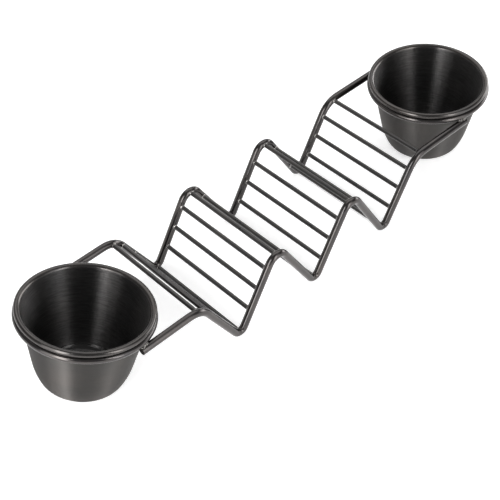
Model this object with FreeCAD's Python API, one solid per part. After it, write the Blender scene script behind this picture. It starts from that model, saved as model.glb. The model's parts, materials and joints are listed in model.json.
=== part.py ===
import FreeCAD, Part
import math
import os

# Taco holder: a bent and welded wire rack with three slots and a sauce cup hung at each end.
# Millimetres. X runs along the rack, Y across it, Z up. The table is Z = 0, and X = 0 is midway between the
# outer sides of the two rings. The wave is laid out about its own middle slot and moved there at the end.

# Wire sizes
RAIL_D = 4.4
BAR_D = 2.5
RING_WIRE_D = 3.5

# Side rails: a wave of slots and peaks with a level arm at each end
SLOT_COUNT = 3
SLOT_PITCH = 57.5
PEAK_BEND_R = 6.5
SLOT_BEND_R = 3.75
SHOULDER_BEND_R = 15.0

# Crossbars: the raises, one for each slot, shift the bars of its slopes up from the middle of the run
BARS_PER_SLOPE = 3
BAR_STEP = 12.75
BAR_RAISES = (3.5, 1.0, 1.65)
LEFT_SHOULDER_BAR_TURN = 24.0
RIGHT_SHOULDER_BAR_TURN = 15.0

# Sauce cups: pressed sheet with a rolled rim
CUP_RIM_D = 72.0
CUP_DEPTH = 46.5
CUP_BEAD_D = 3.2
CUP_SHEET = 0.7
CUP_STRAIGHT_WALL = 33.0
CUP_BELLY_R = 44.6
CUP_CORNER_R = 7.35
CUP_BASE_D = 33.0

# Where the cups, rings and arms meet: the left ring is bent up at its outer side, and its cup leans with it
CUP_BASE_LIFT = 1.5
LEFT_RING_TO_SHOULDER = 46.7
RIGHT_RING_TO_SHOULDER = 51.4
LEFT_LEAN = 12.3
RIGHT_LEAN = 0.0
RING_CUP_CLEARANCE = 0.3
ARM_OUTSET = 0.1
ARM_STOP = 7.0
WELD_GAP = 0.05
SEAT_STEPS = 400

OUT_DIR = "parts"

RAIL_R = RAIL_D / 2
BAR_R = BAR_D / 2
RING_WIRE_R = RING_WIRE_D / 2
BEAD_R = CUP_BEAD_D / 2

# Cup wall, from the middle of the bead down: straight wall, belly and corner, each tangent to the next
BEAD_CENTRE_R = CUP_RIM_D / 2 - BEAD_R
BEAD_TO_SKIN = BEAD_R - CUP_SHEET
CORNER_X = CUP_BASE_D / 2 - BEAD_CENTRE_R
CORNER_Z = CUP_CORNER_R - CUP_DEPTH
TO_BELLY_CENTRE = math.hypot(CUP_STRAIGHT_WALL, CUP_BELLY_R + BEAD_TO_SKIN)
TO_CORNER_CENTRE = math.hypot(CORNER_X, CORNER_Z)
BELLY_TO_CORNER = CUP_BELLY_R - CUP_CORNER_R
BELLY_COSINE = (TO_BELLY_CENTRE ** 2 + TO_CORNER_CENTRE ** 2 - BELLY_TO_CORNER ** 2) / (
    2 * TO_BELLY_CENTRE * TO_CORNER_CENTRE)
BELLY_ANGLE = math.atan2(CORNER_Z, CORNER_X) - math.acos(BELLY_COSINE)
TAPER = math.atan2(-CUP_STRAIGHT_WALL, -CUP_BELLY_R - BEAD_TO_SKIN) - BELLY_ANGLE

# The ring fits round the wall and carries the bead: its place is taken from the middle of the bead
RING_OUT = RING_WIRE_R + RING_CUP_CLEARANCE - BEAD_TO_SKIN
RING_DOWN = math.sqrt((BEAD_R + RING_WIRE_R) ** 2 - RING_OUT ** 2)
RING_R = BEAD_CENTRE_R + RING_OUT * math.cos(TAPER) - RING_DOWN * math.sin(TAPER)
RAIL_Y = RING_R + ARM_OUTSET


def ring_seat(lean):
    """How far above the arms a ring's tilt axis lies when the ring just clears both of them."""
    reach = RAIL_R + RING_WIRE_R + WELD_GAP
    seat = 0.0
    for i in range(SEAT_STEPS + 1):
        along = ARM_STOP + (RING_R - ARM_STOP) * i / SEAT_STEPS
        aside = RAIL_Y - math.sqrt(RING_R ** 2 - along ** 2)
        if abs(aside) < reach:
            rise = math.sqrt(reach ** 2 - aside ** 2) + (along - ARM_STOP) * math.sin(math.radians(lean))
            seat = max(seat, rise)
    return seat


# Heights: the base is just clear of the table, the bead is on the ring and the level ring is on the arms
RIM_Z = CUP_BASE_LIFT + CUP_DEPTH
RING_Z = RIM_Z - RING_OUT * math.sin(TAPER) - RING_DOWN * math.cos(TAPER)
TOP_Z = RING_Z - ring_seat(0.0)

# Wave of the rails, taken at the middle of the wire
HALF_PITCH = SLOT_PITCH / 2
SLOT_Z = RAIL_R
RAIL_RISE = TOP_Z - SLOT_Z
BEND_SUM = PEAK_BEND_R + SLOT_BEND_R
CENTRE_DROP = RAIL_RISE - BEND_SUM
CENTRE_DISTANCE = math.hypot(HALF_PITCH, CENTRE_DROP)
SLOPE = math.atan2(CENTRE_DROP, HALF_PITCH) + math.asin(BEND_SUM / CENTRE_DISTANCE)
CORNER_FACTOR = 1 / math.cos(SLOPE) - 1
LAST_SLOT_X = SLOT_PITCH * (SLOT_COUNT - 1) / 2
SHOULDER_X = LAST_SLOT_X + (RAIL_RISE + SLOT_BEND_R * CORNER_FACTOR) / math.tan(SLOPE)
SHOULDER_SETBACK = SHOULDER_BEND_R * math.tan(SLOPE / 2)
LEFT_RING_X = -SHOULDER_X - LEFT_RING_TO_SHOULDER
RIGHT_RING_X = SHOULDER_X + RIGHT_RING_TO_SHOULDER
LEFT_ARM_END_X = LEFT_RING_X + ARM_STOP
RIGHT_ARM_END_X = RIGHT_RING_X - ARM_STOP
LEFT_OUTER_X = LEFT_ARM_END_X - (ARM_STOP + RING_R) * math.cos(math.radians(LEFT_LEAN)) - RING_WIRE_R
RIGHT_OUTER_X = RIGHT_ARM_END_X + (ARM_STOP + RING_R) * math.cos(math.radians(RIGHT_LEAN)) + RING_WIRE_R
WAVE_SHIFT = -(LEFT_OUTER_X + RIGHT_OUTER_X) / 2


def point(x, z, y=0.0):
    return FreeCAD.Vector(x, y, z)


def unit(angle):
    """Direction in the XZ plane, measured up from +X."""
    return point(math.cos(angle), math.sin(angle))


def bent_path(corners, radii):
    """Straight runs between the corners, joined by tangent arcs of the given radii."""
    edges = []
    start = corners[0]
    for before, corner, after, radius in zip(corners, corners[1:], corners[2:], radii):
        back = (before - corner).normalize()
        ahead = (after - corner).normalize()
        half = back.getAngle(ahead) / 2
        into = corner + back * (radius / math.tan(half))
        out = corner + ahead * (radius / math.tan(half))
        middle = corner + (back + ahead).normalize() * (radius / math.sin(half) - radius)
        edges.append(Part.makeLine(start, into))
        edges.append(Part.Arc(into, middle, out).toShape())
        start = out
    edges.append(Part.makeLine(start, corners[-1]))
    return Part.Wire(edges)


def slot_centres():
    return [SLOT_PITCH * i - LAST_SLOT_X for i in range(SLOT_COUNT)]


def peak_centres():
    return [x + HALF_PITCH for x in slot_centres()[:-1]]


def make_rail(y):
    """One wire: arm, shoulder, the wave of slots and peaks, shoulder, arm."""
    slot_corner_z = SLOT_Z - SLOT_BEND_R * CORNER_FACTOR
    peak_corner_z = TOP_Z + PEAK_BEND_R * CORNER_FACTOR
    corners = [point(LEFT_ARM_END_X, TOP_Z, y), point(-SHOULDER_X, TOP_Z, y)]
    radii = [SHOULDER_BEND_R]
    for i, x in enumerate(slot_centres()):
        corners.append(point(x, slot_corner_z, y))
        radii.append(SLOT_BEND_R)
        if i < SLOT_COUNT - 1:
            corners.append(point(x + HALF_PITCH, peak_corner_z, y))
            radii.append(PEAK_BEND_R)
    corners += [point(SHOULDER_X, TOP_Z, y), point(RIGHT_ARM_END_X, TOP_Z, y)]
    radii.append(SHOULDER_BEND_R)
    section = Part.makeCircle(RAIL_R, corners[0], FreeCAD.Vector(1, 0, 0))
    return bent_path(corners, radii).makePipe(Part.Face(Part.Wire(section)))


def make_crossbar(x, z, rails):
    """A straight bar between the rails, its ends shaped to their round sides."""
    bar = Part.makeCylinder(BAR_R, 2 * RAIL_Y, point(x, z, -RAIL_Y), FreeCAD.Vector(0, 1, 0))
    pieces = bar.cut(rails).Solids
    return max(pieces, key=lambda solid: solid.Volume)


def slope_bar_points(side, slot_x, up):
    """Bar places on the slope at one side (-1 or 1) of a slot, lowest first, raised by the given length."""
    run_start = point(SLOT_BEND_R * math.sin(SLOPE), SLOT_Z + SLOT_BEND_R * (1 - math.cos(SLOPE)))
    run_end = point(HALF_PITCH - PEAK_BEND_R * math.sin(SLOPE), TOP_Z - PEAK_BEND_R * (1 - math.cos(SLOPE)))
    middle = (run_start + run_end) / 2 + unit(SLOPE) * up
    places = []
    for i in range(BARS_PER_SLOPE):
        spot = middle + unit(SLOPE) * ((i - (BARS_PER_SLOPE - 1) / 2) * BAR_STEP)
        places.append((slot_x + side * spot.x, spot.z))
    return places


def shoulder_bar_point(side, turn):
    """The bar just inside each arm, part of the way into the shoulder bend."""
    angle = math.radians(turn)
    x = SHOULDER_X + SHOULDER_SETBACK - SHOULDER_BEND_R * math.sin(angle)
    return side * x, TOP_Z - SHOULDER_BEND_R * (1 - math.cos(angle))


def crossbar_places():
    places = {
        "shoulder_bar_left": shoulder_bar_point(-1, LEFT_SHOULDER_BAR_TURN),
        "shoulder_bar_right": shoulder_bar_point(1, RIGHT_SHOULDER_BAR_TURN),
    }
    for i, x in enumerate(slot_centres()):
        places["slot_bar_%d" % (i + 1)] = (x, SLOT_Z)
        up = BAR_RAISES[i % len(BAR_RAISES)]
        for side, name in ((-1, "left"), (1, "right")):
            for level, spot in enumerate(slope_bar_points(side, x, up), 1):
                places["slope_bar_%d_%s_%d" % (i + 1, name, level)] = spot
    for number, x in enumerate(peak_centres(), 1):
        places["peak_bar_%d" % number] = (x, TOP_Z)
    return places


def make_ring():
    return Part.makeTorus(RING_R, RING_WIRE_R, point(0, RING_Z))


def cup_skin(inset):
    """One skin of the cup from the rim down to the axis: straight wall, belly, corner and base."""
    outward = point(math.cos(TAPER), -math.sin(TAPER))
    straight_down = point(0, -1)
    bead_centre = point(BEAD_CENTRE_R, 0)
    belly_centre = bead_centre + unit(BELLY_ANGLE) * TO_BELLY_CENTRE
    corner_centre = bead_centre + point(CORNER_X, CORNER_Z)
    to_corner = (corner_centre - belly_centre).normalize()
    belly_middle = (outward + to_corner).normalize()
    corner_middle = (to_corner + straight_down).normalize()
    belly_r = CUP_BELLY_R - inset
    corner_r = CUP_CORNER_R - inset
    wall_end = belly_centre + outward * belly_r
    belly_end = corner_centre + to_corner * corner_r
    base_edge = corner_centre + straight_down * corner_r
    return [
        Part.makeLine(bead_centre - outward * (BEAD_TO_SKIN + inset), wall_end),
        Part.Arc(wall_end, belly_centre + belly_middle * belly_r, belly_end).toShape(),
        Part.Arc(belly_end, corner_centre + corner_middle * corner_r, base_edge).toShape(),
        Part.makeLine(base_edge, point(0, base_edge.z)),
    ]


def make_cup():
    """A pressed cup, thin all over, with a round bead rolled outwards at the rim."""
    outer = cup_skin(0)
    inner = cup_skin(CUP_SHEET)
    top = Part.makeLine(outer[0].Vertexes[0].Point, inner[0].Vertexes[0].Point)
    base = Part.makeLine(outer[-1].Vertexes[1].Point, inner[-1].Vertexes[1].Point)
    section = Part.Face(Part.Wire(Part.__sortEdges__(outer + inner + [top, base])))
    shell = section.revolve(point(0, 0), FreeCAD.Vector(0, 0, 1), 360)
    bead = Part.makeTorus(BEAD_CENTRE_R, BEAD_R)
    cup = shell.fuse(bead).removeSplitter()
    cup.translate(point(0, RIM_Z))
    return cup.Solids[0]


def seated(shape, side, ring_x, lean):
    """A ring or cup moved to its end of the rack, tilted about the arm ends and raised clear of the arms."""
    shape.translate(point(ring_x, 0))
    shape.rotate(point(ring_x - side * ARM_STOP, RING_Z), FreeCAD.Vector(0, 1, 0), -side * lean)
    shape.translate(point(0, ring_seat(lean) - ring_seat(0.0)))
    return shape


def build():
    front = make_rail(-RAIL_Y)
    rear = make_rail(RAIL_Y)
    rails = Part.makeCompound([front, rear])
    nodes = {"rail_front": front, "rail_rear": rear}
    ends = (("left", -1, LEFT_RING_X, LEFT_LEAN), ("right", 1, RIGHT_RING_X, RIGHT_LEAN))
    for name, side, ring_x, lean in ends:
        nodes["ring_" + name] = seated(make_ring(), side, ring_x, lean)
        nodes["cup_" + name] = seated(make_cup(), side, ring_x, lean)
    for name, (x, z) in crossbar_places().items():
        nodes[name] = make_crossbar(x, z, rails)
    for shape in nodes.values():
        shape.translate(point(WAVE_SHIFT, 0))
    return nodes


os.makedirs(OUT_DIR, exist_ok=True)
for node_name, solid in build().items():
    solid.exportStep(os.path.join(OUT_DIR, node_name + ".step"))
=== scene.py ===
import json
import math
import random

import bmesh
import bpy
from mathutils import Matrix, Quaternion, Vector


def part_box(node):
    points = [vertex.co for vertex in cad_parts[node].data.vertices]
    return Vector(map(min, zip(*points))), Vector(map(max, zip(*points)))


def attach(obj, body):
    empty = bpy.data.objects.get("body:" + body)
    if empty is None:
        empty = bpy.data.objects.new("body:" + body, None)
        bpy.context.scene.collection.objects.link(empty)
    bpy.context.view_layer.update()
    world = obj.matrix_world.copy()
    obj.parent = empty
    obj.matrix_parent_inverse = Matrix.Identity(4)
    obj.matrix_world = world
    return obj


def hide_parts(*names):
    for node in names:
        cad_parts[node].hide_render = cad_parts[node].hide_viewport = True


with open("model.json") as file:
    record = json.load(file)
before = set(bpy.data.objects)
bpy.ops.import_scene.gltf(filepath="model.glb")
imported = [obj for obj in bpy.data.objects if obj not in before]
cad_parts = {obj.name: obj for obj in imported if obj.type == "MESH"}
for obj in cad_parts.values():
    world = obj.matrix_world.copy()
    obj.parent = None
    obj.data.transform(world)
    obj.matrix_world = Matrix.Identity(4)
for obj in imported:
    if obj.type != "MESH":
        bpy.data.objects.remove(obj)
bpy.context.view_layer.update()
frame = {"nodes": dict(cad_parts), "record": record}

# Metres. X runs along the rack, Y across it, Z up. The table is Z = 0.

# Camera, at the angle of the photograph
CAMERA_PLACE = Vector((-0.33563, -0.3527, 0.4963))
CAMERA_AIM = Vector((-0.02558, -0.00719, 0.0200))
CAMERA_ROLL = math.radians(-2.325)
CAMERA_LENS = 85.906

# Cups: turned from sheet, with a straight wall, a belly and a rounded corner at the base
CUP_SHEET = 0.0007
CUP_STRAIGHT_WALL = 0.033
CUP_BELLY_R = 0.0446
CUP_CORNER_R = 0.00735
CUP_BASE_R = 0.0165
CUP_SIDES = 224
CORNER_STEPS = 14
WALL_STEPS = 24
SHARP_EDGE = math.radians(50)
TURNED_MAP = "round_and_down"

# Rim of a cup: a soft lip leads from the wall into a bead, which curls outwards to an open end
BEAD_R = 0.0016
BEAD_STEPS = 32
LIP_R = 0.0028
LIP_TURN = math.radians(110)
LIP_STEPS = 16
CURL_END = math.radians(-118)
CURL_SHEET = 0.0006

# Steps of a cup's outline that have the floor's finish, and steps of the lip that have the wall's
FLOOR_LEVELS = 12
LIP_LEVELS = 6

# Welds of the crossbars: a concave collar of filler where each bar meets a rail
COLLAR_FLARE = 0.00055
COLLAR_LENGTH = 0.0009
COLLAR_SINK = 0.00006
COLLAR_LUMPS = 0.22
COLLAR_WAVES = 4
COLLAR_LENGTH_SHIFT = 1.0
COLLAR_SIDES = 40
COLLAR_STEPS = 8

# Slant of the rails where the shoulder bars meet them
SHOULDER_SLANTS = {"shoulder_bar_left": math.radians(24), "shoulder_bar_right": math.radians(-15)}

# Welds of the rings: two lumpy lobes on each arm, side by side under the ring
LOBE_HALF_SIZE = Vector((0.0015, 0.0013, 0.0014))
LOBE_LUMPS = 0.20
LOBE_WAVES_ROUND = 5
LOBE_WAVES_UP = 4
LOBES_FROM_END = 0.0025
LOBES_APART = 0.0022
LOBES_OFF_AXIS = 0.0004
LOBES_STAGGER = 0.0003

# Weakest swing in the lumps of a weld, as a share of the strongest
LEAST_SWING = 0.3

# Tones of the plating, each with the warmer one that clouds over it
OUTSIDE = (0.080, 0.078, 0.076, 1.0)
OUTSIDE_WARM = (0.102, 0.095, 0.090, 1.0)
INSIDE = (0.074, 0.073, 0.073, 1.0)
INSIDE_WARM = (0.090, 0.086, 0.084, 1.0)
# The cup floor's tone is darker than the inside's: painted shade at the bottom of the cup
SHADED_CUP_FLOOR = (0.046, 0.045, 0.045, 1.0)
SHADED_CUP_FLOOR_WARM = (0.056, 0.054, 0.053, 1.0)
RIM = (0.074, 0.071, 0.070, 1.0)
RIM_WARM = (0.098, 0.090, 0.085, 1.0)
WIRE = (0.066, 0.063, 0.064, 1.0)
WIRE_WARM = (0.092, 0.084, 0.080, 1.0)
BAR = (0.066, 0.065, 0.066, 1.0)
BAR_WARM = (0.088, 0.083, 0.079, 1.0)
# The bar welds' tone is far brighter than the plating: partly painted highlight, for bright spots at the
# bars' ends
BAR_WELD_PAINTED_HIGHLIGHT = (0.200, 0.196, 0.192, 1.0)
BAR_WELD_WARM_PAINTED_HIGHLIGHT = (0.420, 0.402, 0.384, 1.0)
RING_WELD = (0.085, 0.083, 0.081, 1.0)
RING_WELD_WARM = (0.170, 0.160, 0.150, 1.0)

# Studio: an even sky over a pale table, with a glow that only the eye and reflections see
TABLE_R = 9.0
TABLE_SIDES = 96
TABLE_TONE = (0.90, 0.90, 0.90, 1.0)
TABLE_GLOW = 0.55
BACKDROP_R = 3.0
BACKDROP_STEPS = 16
SKY_STRENGTH = 0.26
WHITE = (1.0, 1.0, 1.0, 1.0)


# Shader groups

def new_group(name, inputs, outputs):
    group = bpy.data.node_groups.new(name, "ShaderNodeTree")
    for label, kind, value in inputs:
        socket = group.interface.new_socket(label, in_out="INPUT", socket_type=kind)
        socket.default_value = value
    for label, kind in outputs:
        group.interface.new_socket(label, in_out="OUTPUT", socket_type=kind)
    return group, group.nodes.new("NodeGroupInput"), group.nodes.new("NodeGroupOutput")


def math_node(nodes, links, operation, first, second):
    """The result of an operation on two values, each a number or the socket that it comes from."""
    node = nodes.new("ShaderNodeMath")
    node.operation = operation
    for socket, value in zip(node.inputs, (first, second)):
        if isinstance(value, (int, float)):
            socket.default_value = value
        else:
            links.new(value, socket)
    return node.outputs[0]


def make_plating_tone():
    """Cloudy change of colour over the plating, and a little change of gloss with it."""
    group, inside, out = new_group(
        "plating_tone",
        [("Tone", "NodeSocketColor", OUTSIDE), ("Warm tone", "NodeSocketColor", OUTSIDE_WARM),
         ("Cloud scale", "NodeSocketFloat", 60.0), ("Roughness", "NodeSocketFloat", 0.3),
         ("Roughness change", "NodeSocketFloat", 0.05)],
        [("Color", "NodeSocketColor"), ("Roughness", "NodeSocketFloat")])
    nodes, links = group.nodes, group.links
    coords = nodes.new("ShaderNodeTexCoord")
    clouds = nodes.new("ShaderNodeTexNoise")
    clouds.inputs["Detail"].default_value = 4.0
    clouds.inputs["Roughness"].default_value = 0.55
    links.new(coords.outputs["Object"], clouds.inputs["Vector"])
    links.new(inside.outputs["Cloud scale"], clouds.inputs["Scale"])
    spread = nodes.new("ShaderNodeMapRange")
    spread.inputs["From Min"].default_value = 0.3
    spread.inputs["From Max"].default_value = 0.7
    links.new(clouds.outputs["Fac"], spread.inputs["Value"])
    blend = nodes.new("ShaderNodeMix")
    blend.data_type = "RGBA"
    links.new(spread.outputs[0], blend.inputs["Factor"])
    links.new(inside.outputs["Tone"], blend.inputs["A"])
    links.new(inside.outputs["Warm tone"], blend.inputs["B"])
    links.new(blend.outputs["Result"], out.inputs["Color"])
    swing = math_node(nodes, links, "MULTIPLY", spread.outputs[0], inside.outputs["Roughness change"])
    total = math_node(nodes, links, "ADD", inside.outputs["Roughness"], swing)
    links.new(total, out.inputs["Roughness"])


def make_spun_lines():
    """Fine broken lines round a turned piece: a height and a mask that change along its section."""
    group, inside, out = new_group(
        "spun_lines",
        [("Lines per metre", "NodeSocketFloat", 1900.0), ("Wander", "NodeSocketFloat", 130.0),
         ("Mask low", "NodeSocketFloat", 0.40), ("Mask high", "NodeSocketFloat", 0.60)],
        [("Height", "NodeSocketFloat"), ("Mask", "NodeSocketFloat")])
    nodes, links = group.nodes, group.links
    coords = nodes.new("ShaderNodeTexCoord")
    chart = nodes.new("ShaderNodeSeparateXYZ")
    links.new(coords.outputs["UV"], chart.inputs[0])
    spot = nodes.new("ShaderNodeSeparateXYZ")
    links.new(coords.outputs["Object"], spot.inputs[0])
    pattern = nodes.new("ShaderNodeCombineXYZ")
    for source, axis, scale, target in (
            (chart, "Y", "Lines per metre", "X"), (spot, "Y", "Wander", "Y"), (spot, "X", "Wander", "Z")):
        scaled = math_node(nodes, links, "MULTIPLY", source.outputs[axis], inside.outputs[scale])
        links.new(scaled, pattern.inputs[target])
    lines = nodes.new("ShaderNodeTexNoise")
    lines.inputs["Scale"].default_value = 1.0
    lines.inputs["Detail"].default_value = 3.0
    lines.inputs["Roughness"].default_value = 0.6
    links.new(pattern.outputs[0], lines.inputs["Vector"])
    links.new(lines.outputs["Fac"], out.inputs["Height"])
    sharp = nodes.new("ShaderNodeMapRange")
    links.new(lines.outputs["Fac"], sharp.inputs["Value"])
    links.new(inside.outputs["Mask low"], sharp.inputs["From Min"])
    links.new(inside.outputs["Mask high"], sharp.inputs["From Max"])
    links.new(sharp.outputs[0], out.inputs["Mask"])


def make_fine_ripple():
    """The slight unevenness of plated wire: long soft waves with a finer grain over them."""
    group, inside, out = new_group(
        "fine_ripple",
        [("Wave scale", "NodeSocketFloat", 220.0), ("Grain scale", "NodeSocketFloat", 2600.0),
         ("Grain share", "NodeSocketFloat", 0.25)],
        [("Height", "NodeSocketFloat")])
    nodes, links = group.nodes, group.links
    coords = nodes.new("ShaderNodeTexCoord")
    waves = nodes.new("ShaderNodeTexNoise")
    grain = nodes.new("ShaderNodeTexNoise")
    for texture, scale in ((waves, "Wave scale"), (grain, "Grain scale")):
        links.new(coords.outputs["Object"], texture.inputs["Vector"])
        links.new(inside.outputs[scale], texture.inputs["Scale"])
    share = math_node(nodes, links, "MULTIPLY", grain.outputs["Fac"], inside.outputs["Grain share"])
    total = math_node(nodes, links, "ADD", waves.outputs["Fac"], share)
    links.new(total, out.inputs["Height"])


def place_group(nodes, name, **values):
    """Puts a shader group into a material. A value's name is the input's, with _ for each space."""
    node = nodes.new("ShaderNodeGroup")
    node.node_tree = bpy.data.node_groups[name]
    for label, value in values.items():
        node.inputs[label.replace("_", " ")].default_value = value
    return node


# Materials

def new_material(name):
    material = bpy.data.materials.new(name)
    material.use_nodes = True
    nodes, links = material.node_tree.nodes, material.node_tree.links
    return material, nodes, links, nodes["Principled BSDF"]


def add_relief(nodes, links, shader, height, strength, depth):
    """Fine relief in the surface, of a depth in metres."""
    bump = nodes.new("ShaderNodeBump")
    bump.inputs["Strength"].default_value = strength
    bump.inputs["Distance"].default_value = depth
    links.new(height, bump.inputs["Height"])
    links.new(bump.outputs["Normal"], shader.inputs["Normal"])


def plated_material(name, tone, warm, clouds, roughness, change, relief, depth, **ripple):
    """Dark plating over steel: cloudy in tone and gloss, with a slightly uneven surface."""
    material, nodes, links, shader = new_material(name)
    shader.inputs["Metallic"].default_value = 1.0
    plating = place_group(nodes, "plating_tone", Tone=tone, Warm_tone=warm, Cloud_scale=clouds,
                          Roughness=roughness, Roughness_change=change)
    links.new(plating.outputs["Color"], shader.inputs["Base Color"])
    links.new(plating.outputs["Roughness"], shader.inputs["Roughness"])
    surface = place_group(nodes, "fine_ripple", **ripple)
    add_relief(nodes, links, shader, surface.outputs["Height"], relief, depth)
    return material


def wire_material(name, tone, warm, roughness, change, relief):
    """Bent wire with a dark glossy plating."""
    return plated_material(name, tone, warm, clouds=90.0, roughness=roughness, change=change,
                           relief=relief, depth=0.0001)


def weld_material(name, tone, warm):
    """Lumpy filler, bright in spots where it catches the light."""
    return plated_material(name, tone, warm, clouds=700.0, roughness=0.18, change=0.12,
                           relief=0.5, depth=0.0002, Wave_scale=900.0, Grain_share=0.4)


def cup_material(name, tone, warm, roughness, stretch, line_shade, line_depth):
    """Turned sheet: satin along the wall, with fine lines round it that break up the shine."""
    material, nodes, links, shader = new_material(name)
    shader.inputs["Metallic"].default_value = 1.0
    shader.inputs["Anisotropic"].default_value = stretch
    shader.inputs["Anisotropic Rotation"].default_value = 0.25
    plating = place_group(nodes, "plating_tone", Tone=tone, Warm_tone=warm, Cloud_scale=45.0,
                          Roughness=roughness, Roughness_change=0.04)
    lines = place_group(nodes, "spun_lines")
    darker = nodes.new("ShaderNodeMix")
    darker.data_type = "RGBA"
    darker.blend_type = "MULTIPLY"
    darker.inputs["Factor"].default_value = line_shade
    links.new(plating.outputs["Color"], darker.inputs["A"])
    links.new(lines.outputs["Mask"], darker.inputs["B"])
    links.new(darker.outputs["Result"], shader.inputs["Base Color"])
    links.new(plating.outputs["Roughness"], shader.inputs["Roughness"])
    add_relief(nodes, links, shader, lines.outputs["Height"], line_depth, depth=0.00018)
    tangent = nodes.new("ShaderNodeTangent")
    tangent.direction_type = "UV_MAP"
    tangent.uv_map = TURNED_MAP
    links.new(tangent.outputs[0], shader.inputs["Tangent"])
    return material


# Meshes

def new_object(name, mesh_maker):
    """A smooth mesh object, filled by mesh_maker."""
    form = bmesh.new()
    mesh_maker(form)
    bmesh.ops.recalc_face_normals(form, faces=form.faces)
    mesh = bpy.data.meshes.new(name)
    form.to_mesh(mesh)
    form.free()
    mesh.shade_smooth()
    made = bpy.data.objects.new(name, mesh)
    bpy.context.scene.collection.objects.link(made)
    return made


def new_piece(name, mesh_maker, finishes):
    """A mesh object that moves with the rack."""
    piece = new_object(name, mesh_maker)
    for finish in finishes:
        piece.data.materials.append(finish)
    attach(piece, "root")
    return piece


def spot_at(centre, radius, angle):
    """A point of a half section, where X is the distance from the axis."""
    return centre + Vector((math.cos(angle), math.sin(angle))) * radius


def arc_points(centre, radius, start, end, steps):
    return [spot_at(centre, radius, start + (end - start) * i / steps) for i in range(steps + 1)]


def line_points(start, end, steps):
    """Points between two ends, without the ends."""
    return [start.lerp(end, i / steps) for i in range(1, steps)]


def turn_on_lathe(form, outline, sides, finish_at=lambda level: 0):
    """Turns a half section round the Z axis, with a map that runs round it and, in metres, along it."""
    chart = form.loops.layers.uv.new(TURNED_MAP)
    angles = [math.tau * i / sides for i in range(sides)]
    reached = [0.0]
    for before, spot in zip(outline, outline[1:]):
        reached.append(reached[-1] + (spot - before).length)
    rings = []
    for spot in outline:
        if spot.x:
            places = [(spot.x * math.cos(angle), spot.x * math.sin(angle), spot.y) for angle in angles]
        else:
            places = [(0.0, 0.0, spot.y)]
        rings.append([form.verts.new(place) for place in places])
    for level, (first, second) in enumerate(zip(rings, rings[1:])):
        for i in range(sides):
            corners = {}
            for ring, turn, down in ((first, i, 0), (first, i + 1, 0), (second, i + 1, 1), (second, i, 1)):
                corners.setdefault(ring[turn % len(ring)], (turn / sides, reached[level + down]))
            face = form.faces.new(list(corners))
            face.material_index = finish_at(level)
            for loop in face.loops:
                loop[chart].uv = corners[loop.vert]


# Cups

def cup_outline():
    """Half section of a cup in three runs.

    The first goes from the middle of the floor up the inside, the second over the rim, the third down
    the outside. The straight wall runs tangent from bead to belly, and the belly into the corner.
    """
    low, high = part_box("cup_right")
    bead = Vector(((high.x - low.x) / 2 - BEAD_R, high.z - low.z - BEAD_R))
    corner = Vector((CUP_BASE_R, CUP_CORNER_R))
    bead_to_skin = BEAD_R - CUP_SHEET

    # The belly's centre, from the triangle that it makes with the centres of bead and corner
    to_belly = math.hypot(CUP_STRAIGHT_WALL, CUP_BELLY_R + bead_to_skin)
    to_corner = corner - bead
    belly_to_corner = CUP_BELLY_R - CUP_CORNER_R
    squares = to_belly ** 2 + to_corner.length_squared - belly_to_corner ** 2
    bend = math.acos(squares / (2 * to_belly * to_corner.length))
    direction = math.atan2(to_corner.y, to_corner.x) - bend
    belly = spot_at(bead, to_belly, direction)
    taper = math.atan2(-CUP_STRAIGHT_WALL, -CUP_BELLY_R - bead_to_skin) - direction
    inwards = Vector((-math.cos(taper), math.sin(taper)))
    down_wall = Vector((-math.sin(taper), -math.cos(taper)))
    meeting = math.atan2((corner - belly).y, (corner - belly).x)

    inner = [Vector((0.0, CUP_SHEET))]
    inner += arc_points(corner, CUP_CORNER_R - CUP_SHEET, -math.pi / 2, meeting, CORNER_STEPS)
    inner += arc_points(belly, CUP_BELLY_R - CUP_SHEET, meeting, -taper, WALL_STEPS)[1:]

    # The inside of the straight wall runs from the belly's end, tangent to the lip
    lip = spot_at(bead, BEAD_R - LIP_R, LIP_TURN)
    to_lip = lip - inner[-1]
    wall_turn = math.atan2(to_lip.y, to_lip.x) + math.asin(LIP_R / to_lip.length)
    rim = arc_points(lip, LIP_R, wall_turn + math.pi / 2, LIP_TURN, LIP_STEPS)
    inner += line_points(inner[-1], rim[0], WALL_STEPS)
    rim += arc_points(bead, BEAD_R, LIP_TURN, CURL_END, BEAD_STEPS)[1:]
    rim.append(spot_at(bead, BEAD_R - CURL_SHEET, CURL_END))

    groove = bead + inwards * bead_to_skin + down_wall * CURL_SHEET
    belly_run = arc_points(belly, CUP_BELLY_R, -taper, meeting, WALL_STEPS)
    outer = [groove] + line_points(groove, belly_run[0], WALL_STEPS) + belly_run
    outer += arc_points(corner, CUP_CORNER_R, meeting, -math.pi / 2, CORNER_STEPS)[1:]
    outer.append(Vector((0.0, 0.0)))
    return inner, rim, outer


def make_cup(side, finishes):
    """A turned cup, set on the mount under its base, which also gives its lean."""
    mount = next(m for m in frame["record"]["mounts"] if m["name"] == "cup_base_" + side)
    lean = (-Vector(mount["axis"])).to_track_quat("Z", "Y").to_matrix().to_4x4()
    inner, rim, outer = cup_outline()
    ends = (FLOOR_LEVELS, len(inner) + LIP_LEVELS, len(inner + rim))

    def fill(form):
        turn_on_lathe(form, inner + rim + outer, CUP_SIDES, lambda level: sum(level >= end for end in ends))
        form.transform(Matrix.Translation(mount["pos_m"]) @ lean)

    cup = new_piece("turned_cup_" + side, fill, finishes)
    cup.data.set_sharp_from_angle(angle=SHARP_EDGE)
    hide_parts("cup_" + side)


# Welds

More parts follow.
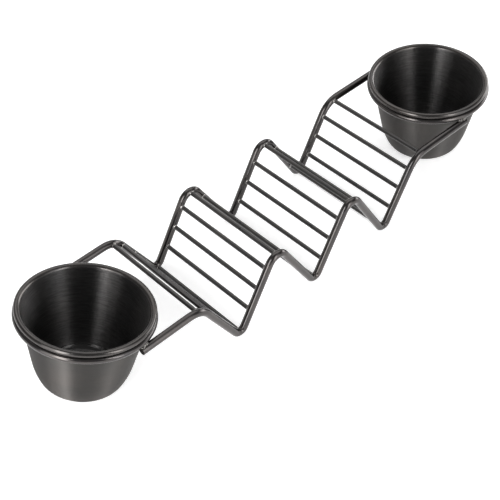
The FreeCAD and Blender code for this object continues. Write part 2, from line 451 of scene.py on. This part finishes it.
def lumps(rng, count):
    """A smooth closed curve of small random swings round zero, as a function of the angle."""
    waves = [(rng.uniform(LEAST_SWING, 1.0) / n, rng.uniform(0, math.tau), n) for n in range(1, count + 1)]
    return lambda angle: sum(size * math.sin(n * angle + shift) for size, shift, n in waves)


def bar_names():
    return sorted(name for name in frame["nodes"] if "_bar_" in name)


def middle(node):
    low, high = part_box(node)
    return (low + high) / 2


def rail_angle(bar):
    """Angle of the rails, in the XZ plane, where this bar meets them."""
    if bar.startswith("slope_bar"):
        lowest, highest = middle(bar[:-1] + "1"), middle(bar[:-1] + "3")
        return math.atan2(highest.z - lowest.z, highest.x - lowest.x)
    return SHOULDER_SLANTS.get(bar, 0.0)


def add_collar(form, rng, bar, sign, rail_y, rail_radius):
    """Concave filler round the end of a bar, from the bar out to the rail's round side."""
    low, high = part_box(bar)
    centre = (low + high) / 2
    bar_radius = (high.z - low.z) / 2
    rail_turn = rail_angle(bar)
    swing = lumps(rng, COLLAR_WAVES)
    rings = []
    for step in range(COLLAR_STEPS + 1):
        share = step / COLLAR_STEPS
        ring = []
        for i in range(COLLAR_SIDES):
            angle = math.tau * i / COLLAR_SIDES
            flare = COLLAR_FLARE * (1 + COLLAR_LUMPS * swing(angle))
            length = COLLAR_LENGTH * (1 + COLLAR_LUMPS * swing(angle + COLLAR_LENGTH_SHIFT))
            reach = bar_radius - COLLAR_SINK + (flare + COLLAR_SINK) * share ** 2
            across = reach * math.sin(angle - rail_turn)
            seat = rail_y - math.sqrt(rail_radius ** 2 - across ** 2)
            y = seat - length * (1 - share) ** 2 + COLLAR_SINK
            x = centre.x + reach * math.cos(angle)
            z = centre.z + reach * math.sin(angle)
            ring.append(form.verts.new((x, sign * y, z)))
        rings.append(ring)
    for first, second in zip(rings, rings[1:]):
        for i in range(COLLAR_SIDES):
            j = (i + 1) % COLLAR_SIDES
            form.faces.new((first[i], first[j], second[j], second[i]))


def make_bar_welds(face, sign, material):
    """The collars at one end of all the crossbars. The sign is -1 for the front rail, 1 for the rear."""
    name = "bar_welds_" + face
    low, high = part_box("rail_rear")
    rail_y, rail_radius = (low.y + high.y) / 2, (high.y - low.y) / 2
    rng = random.Random(name)

    def fill(form):
        for bar in bar_names():
            add_collar(form, rng, bar, sign, rail_y, rail_radius)

    new_piece(name, fill, [material])


def add_lobe(form, rng, place):
    """A lumpy oval lobe of filler."""
    made = bmesh.ops.create_icosphere(form, subdivisions=4, radius=1.0)
    swing_round = lumps(rng, LOBE_WAVES_ROUND)
    swing_up = lumps(rng, LOBE_WAVES_UP)
    for vert in made["verts"]:
        around = math.atan2(vert.co.y, vert.co.x)
        upward = math.asin(max(-1.0, min(1.0, vert.co.z)))
        swell = 1 + LOBE_LUMPS * (swing_round(around) + swing_up(2 * upward)) / 2
        vert.co = place + vert.co * LOBE_HALF_SIZE * swell


def make_ring_weld(face, side, material):
    """Two lobes of filler on top of an arm, a little in from its end, where the ring crosses it."""
    rail = "rail_" + face
    low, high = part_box(rail)
    axis_y = (low.y + high.y) / 2
    outward = -1 if face == "front" else 1
    end, inward = (low.x, 1) if side == "left" else (high.x, -1)
    rng = random.Random(rail + side)

    def fill(form):
        for step in (-1, 1):
            from_end = LOBES_FROM_END + step * LOBES_APART / 2
            off_axis = LOBES_OFF_AXIS + step * LOBES_STAGGER
            place = Vector((end + inward * from_end, axis_y - outward * off_axis, high.z))
            add_lobe(form, rng, place)

    new_piece("ring_weld_%s_%s" % (face, side), fill, [material])


# Rack

def dress_node(name, material):
    for slot in frame["nodes"][name].material_slots:
        slot.material = material


def dress_rack():
    rail_plate = wire_material("rail_plate", WIRE, WIRE_WARM, roughness=0.17, change=0.06, relief=0.10)
    bar_plate = wire_material("bar_plate", BAR, BAR_WARM, roughness=0.26, change=0.08, relief=0.08)
    for name in ("rail_front", "rail_rear", "ring_left", "ring_right"):
        dress_node(name, rail_plate)
    for name in bar_names():
        dress_node(name, bar_plate)


def make_cups():
    """Both cups, with their finishes in the order of the outline: floor, inside, rim, outside."""
    finishes = [
        # The floor's finish: a smoother gloss, and a darker tone that is painted shade at the bottom of the
        # cup
        cup_material("cup_floor_painted_shade", SHADED_CUP_FLOOR, SHADED_CUP_FLOOR_WARM,
                     roughness=0.20, stretch=0.2, line_shade=0.15, line_depth=0.3),
        cup_material("cup_inside", INSIDE, INSIDE_WARM,
                     roughness=0.38, stretch=1.0, line_shade=0.30, line_depth=1.0),
        cup_material("cup_rim", RIM, RIM_WARM,
                     roughness=0.22, stretch=0.5, line_shade=0.1, line_depth=0.05),
        cup_material("cup_outside", OUTSIDE, OUTSIDE_WARM,
                     roughness=0.50, stretch=0.95, line_shade=0.05, line_depth=0.04),
    ]
    for side in ("left", "right"):
        make_cup(side, finishes)


def make_welds():
    # The bar welds' bright tone is partly painted highlight at the ends of the bars
    bar_weld = weld_material("bar_weld", BAR_WELD_PAINTED_HIGHLIGHT, BAR_WELD_WARM_PAINTED_HIGHLIGHT)
    ring_weld = weld_material("ring_weld", RING_WELD, RING_WELD_WARM)
    make_bar_welds("front", -1, bar_weld)
    make_bar_welds("rear", 1, bar_weld)
    for face in ("front", "rear"):
        for side in ("left", "right"):
            make_ring_weld(face, side, ring_weld)


# Studio

def pale_table_material():
    """Pale matt table that looks white to the eye and in reflections, and still keeps a shadow."""
    material, nodes, links, shader = new_material("pale_table")
    shader.inputs["Base Color"].default_value = TABLE_TONE
    shader.inputs["Roughness"].default_value = 0.9
    shader.inputs["Specular IOR Level"].default_value = 0.0
    shader.inputs["Emission Color"].default_value = WHITE
    rays = nodes.new("ShaderNodeLightPath")
    seen = rays.outputs["Is Camera Ray"]
    for kind in ("Is Glossy Ray", "Is Transmission Ray"):
        seen = math_node(nodes, links, "MAXIMUM", seen, rays.outputs[kind])
    glow = math_node(nodes, links, "MULTIPLY", seen, TABLE_GLOW)
    links.new(glow, shader.inputs["Emission Strength"])
    return material


def make_floor():
    """A round flat table top that sweeps up at its edge into a low backdrop."""
    sweep = arc_points(Vector((TABLE_R, BACKDROP_R)), BACKDROP_R, -math.pi / 2, 0.0, BACKDROP_STEPS)
    outline = [Vector((0.0, 0.0))] + sweep
    floor = new_object("floor", lambda form: turn_on_lathe(form, outline, TABLE_SIDES))
    floor.data.materials.append(pale_table_material())


def add_softbox(name, azimuth, elevation, distance, size, power):
    """A soft lamp that faces the rack. Azimuth is seen from the rack, 0 towards -Y and 90 towards +X."""
    lamp = bpy.data.lights.new(name, "AREA")
    lamp.shape = "RECTANGLE"
    lamp.size, lamp.size_y = size
    lamp.energy = power
    holder = bpy.data.objects.new(name, lamp)
    bpy.context.scene.collection.objects.link(holder)
    turn, rise = math.radians(azimuth), math.radians(elevation)
    outward = Vector((math.sin(turn) * math.cos(rise), -math.cos(turn) * math.cos(rise), math.sin(rise)))
    holder.location = outward * distance
    holder.rotation_mode = "QUATERNION"
    holder.rotation_quaternion = outward.to_track_quat("Z", "Y")


def make_lights():
    """An even sky and six soft lamps.

    Two narrow ones draw the streaks of light in the cups, and a wider faint one beside each softens the
    streak. One stands behind the rack, and a low one at its far end.
    """
    world = bpy.data.worlds.new("studio")
    bpy.context.scene.world = world
    world.use_nodes = True
    background = world.node_tree.nodes["Background"]
    background.inputs["Color"].default_value = WHITE
    background.inputs["Strength"].default_value = SKY_STRENGTH
    add_softbox("softbox_left", azimuth=-72, elevation=26, distance=0.80, size=(0.17, 0.75), power=3.4)
    add_softbox("softbox_left_side", azimuth=-88, elevation=26, distance=0.80, size=(0.28, 0.75), power=1.4)
    add_softbox("softbox_right", azimuth=4, elevation=26, distance=0.82, size=(0.16, 0.75), power=2.2)
    add_softbox("softbox_right_side", azimuth=20, elevation=26, distance=0.82, size=(0.28, 0.75), power=0.9)
    add_softbox("softbox_back", azimuth=137.7, elevation=55, distance=1.6, size=(2.0, 1.4), power=12)
    add_softbox("softbox_far_end", azimuth=84, elevation=12, distance=1.2, size=(0.9, 0.4), power=5)


def make_camera():
    data = bpy.data.cameras.new("camera")
    data.lens = CAMERA_LENS
    camera = bpy.data.objects.new("camera", data)
    bpy.context.scene.collection.objects.link(camera)
    back = (CAMERA_PLACE - CAMERA_AIM).normalized()
    camera.location = CAMERA_PLACE
    camera.rotation_mode = "QUATERNION"
    camera.rotation_quaternion = back.to_track_quat("Z", "Y") @ Quaternion((0, 0, 1), CAMERA_ROLL)
    bpy.context.scene.camera = camera


def main():
    make_plating_tone()
    make_spun_lines()
    make_fine_ripple()
    dress_rack()
    make_cups()
    make_welds()
    make_floor()
    make_lights()
    make_camera()
    bpy.context.scene.view_settings.view_transform = "Standard"


main()
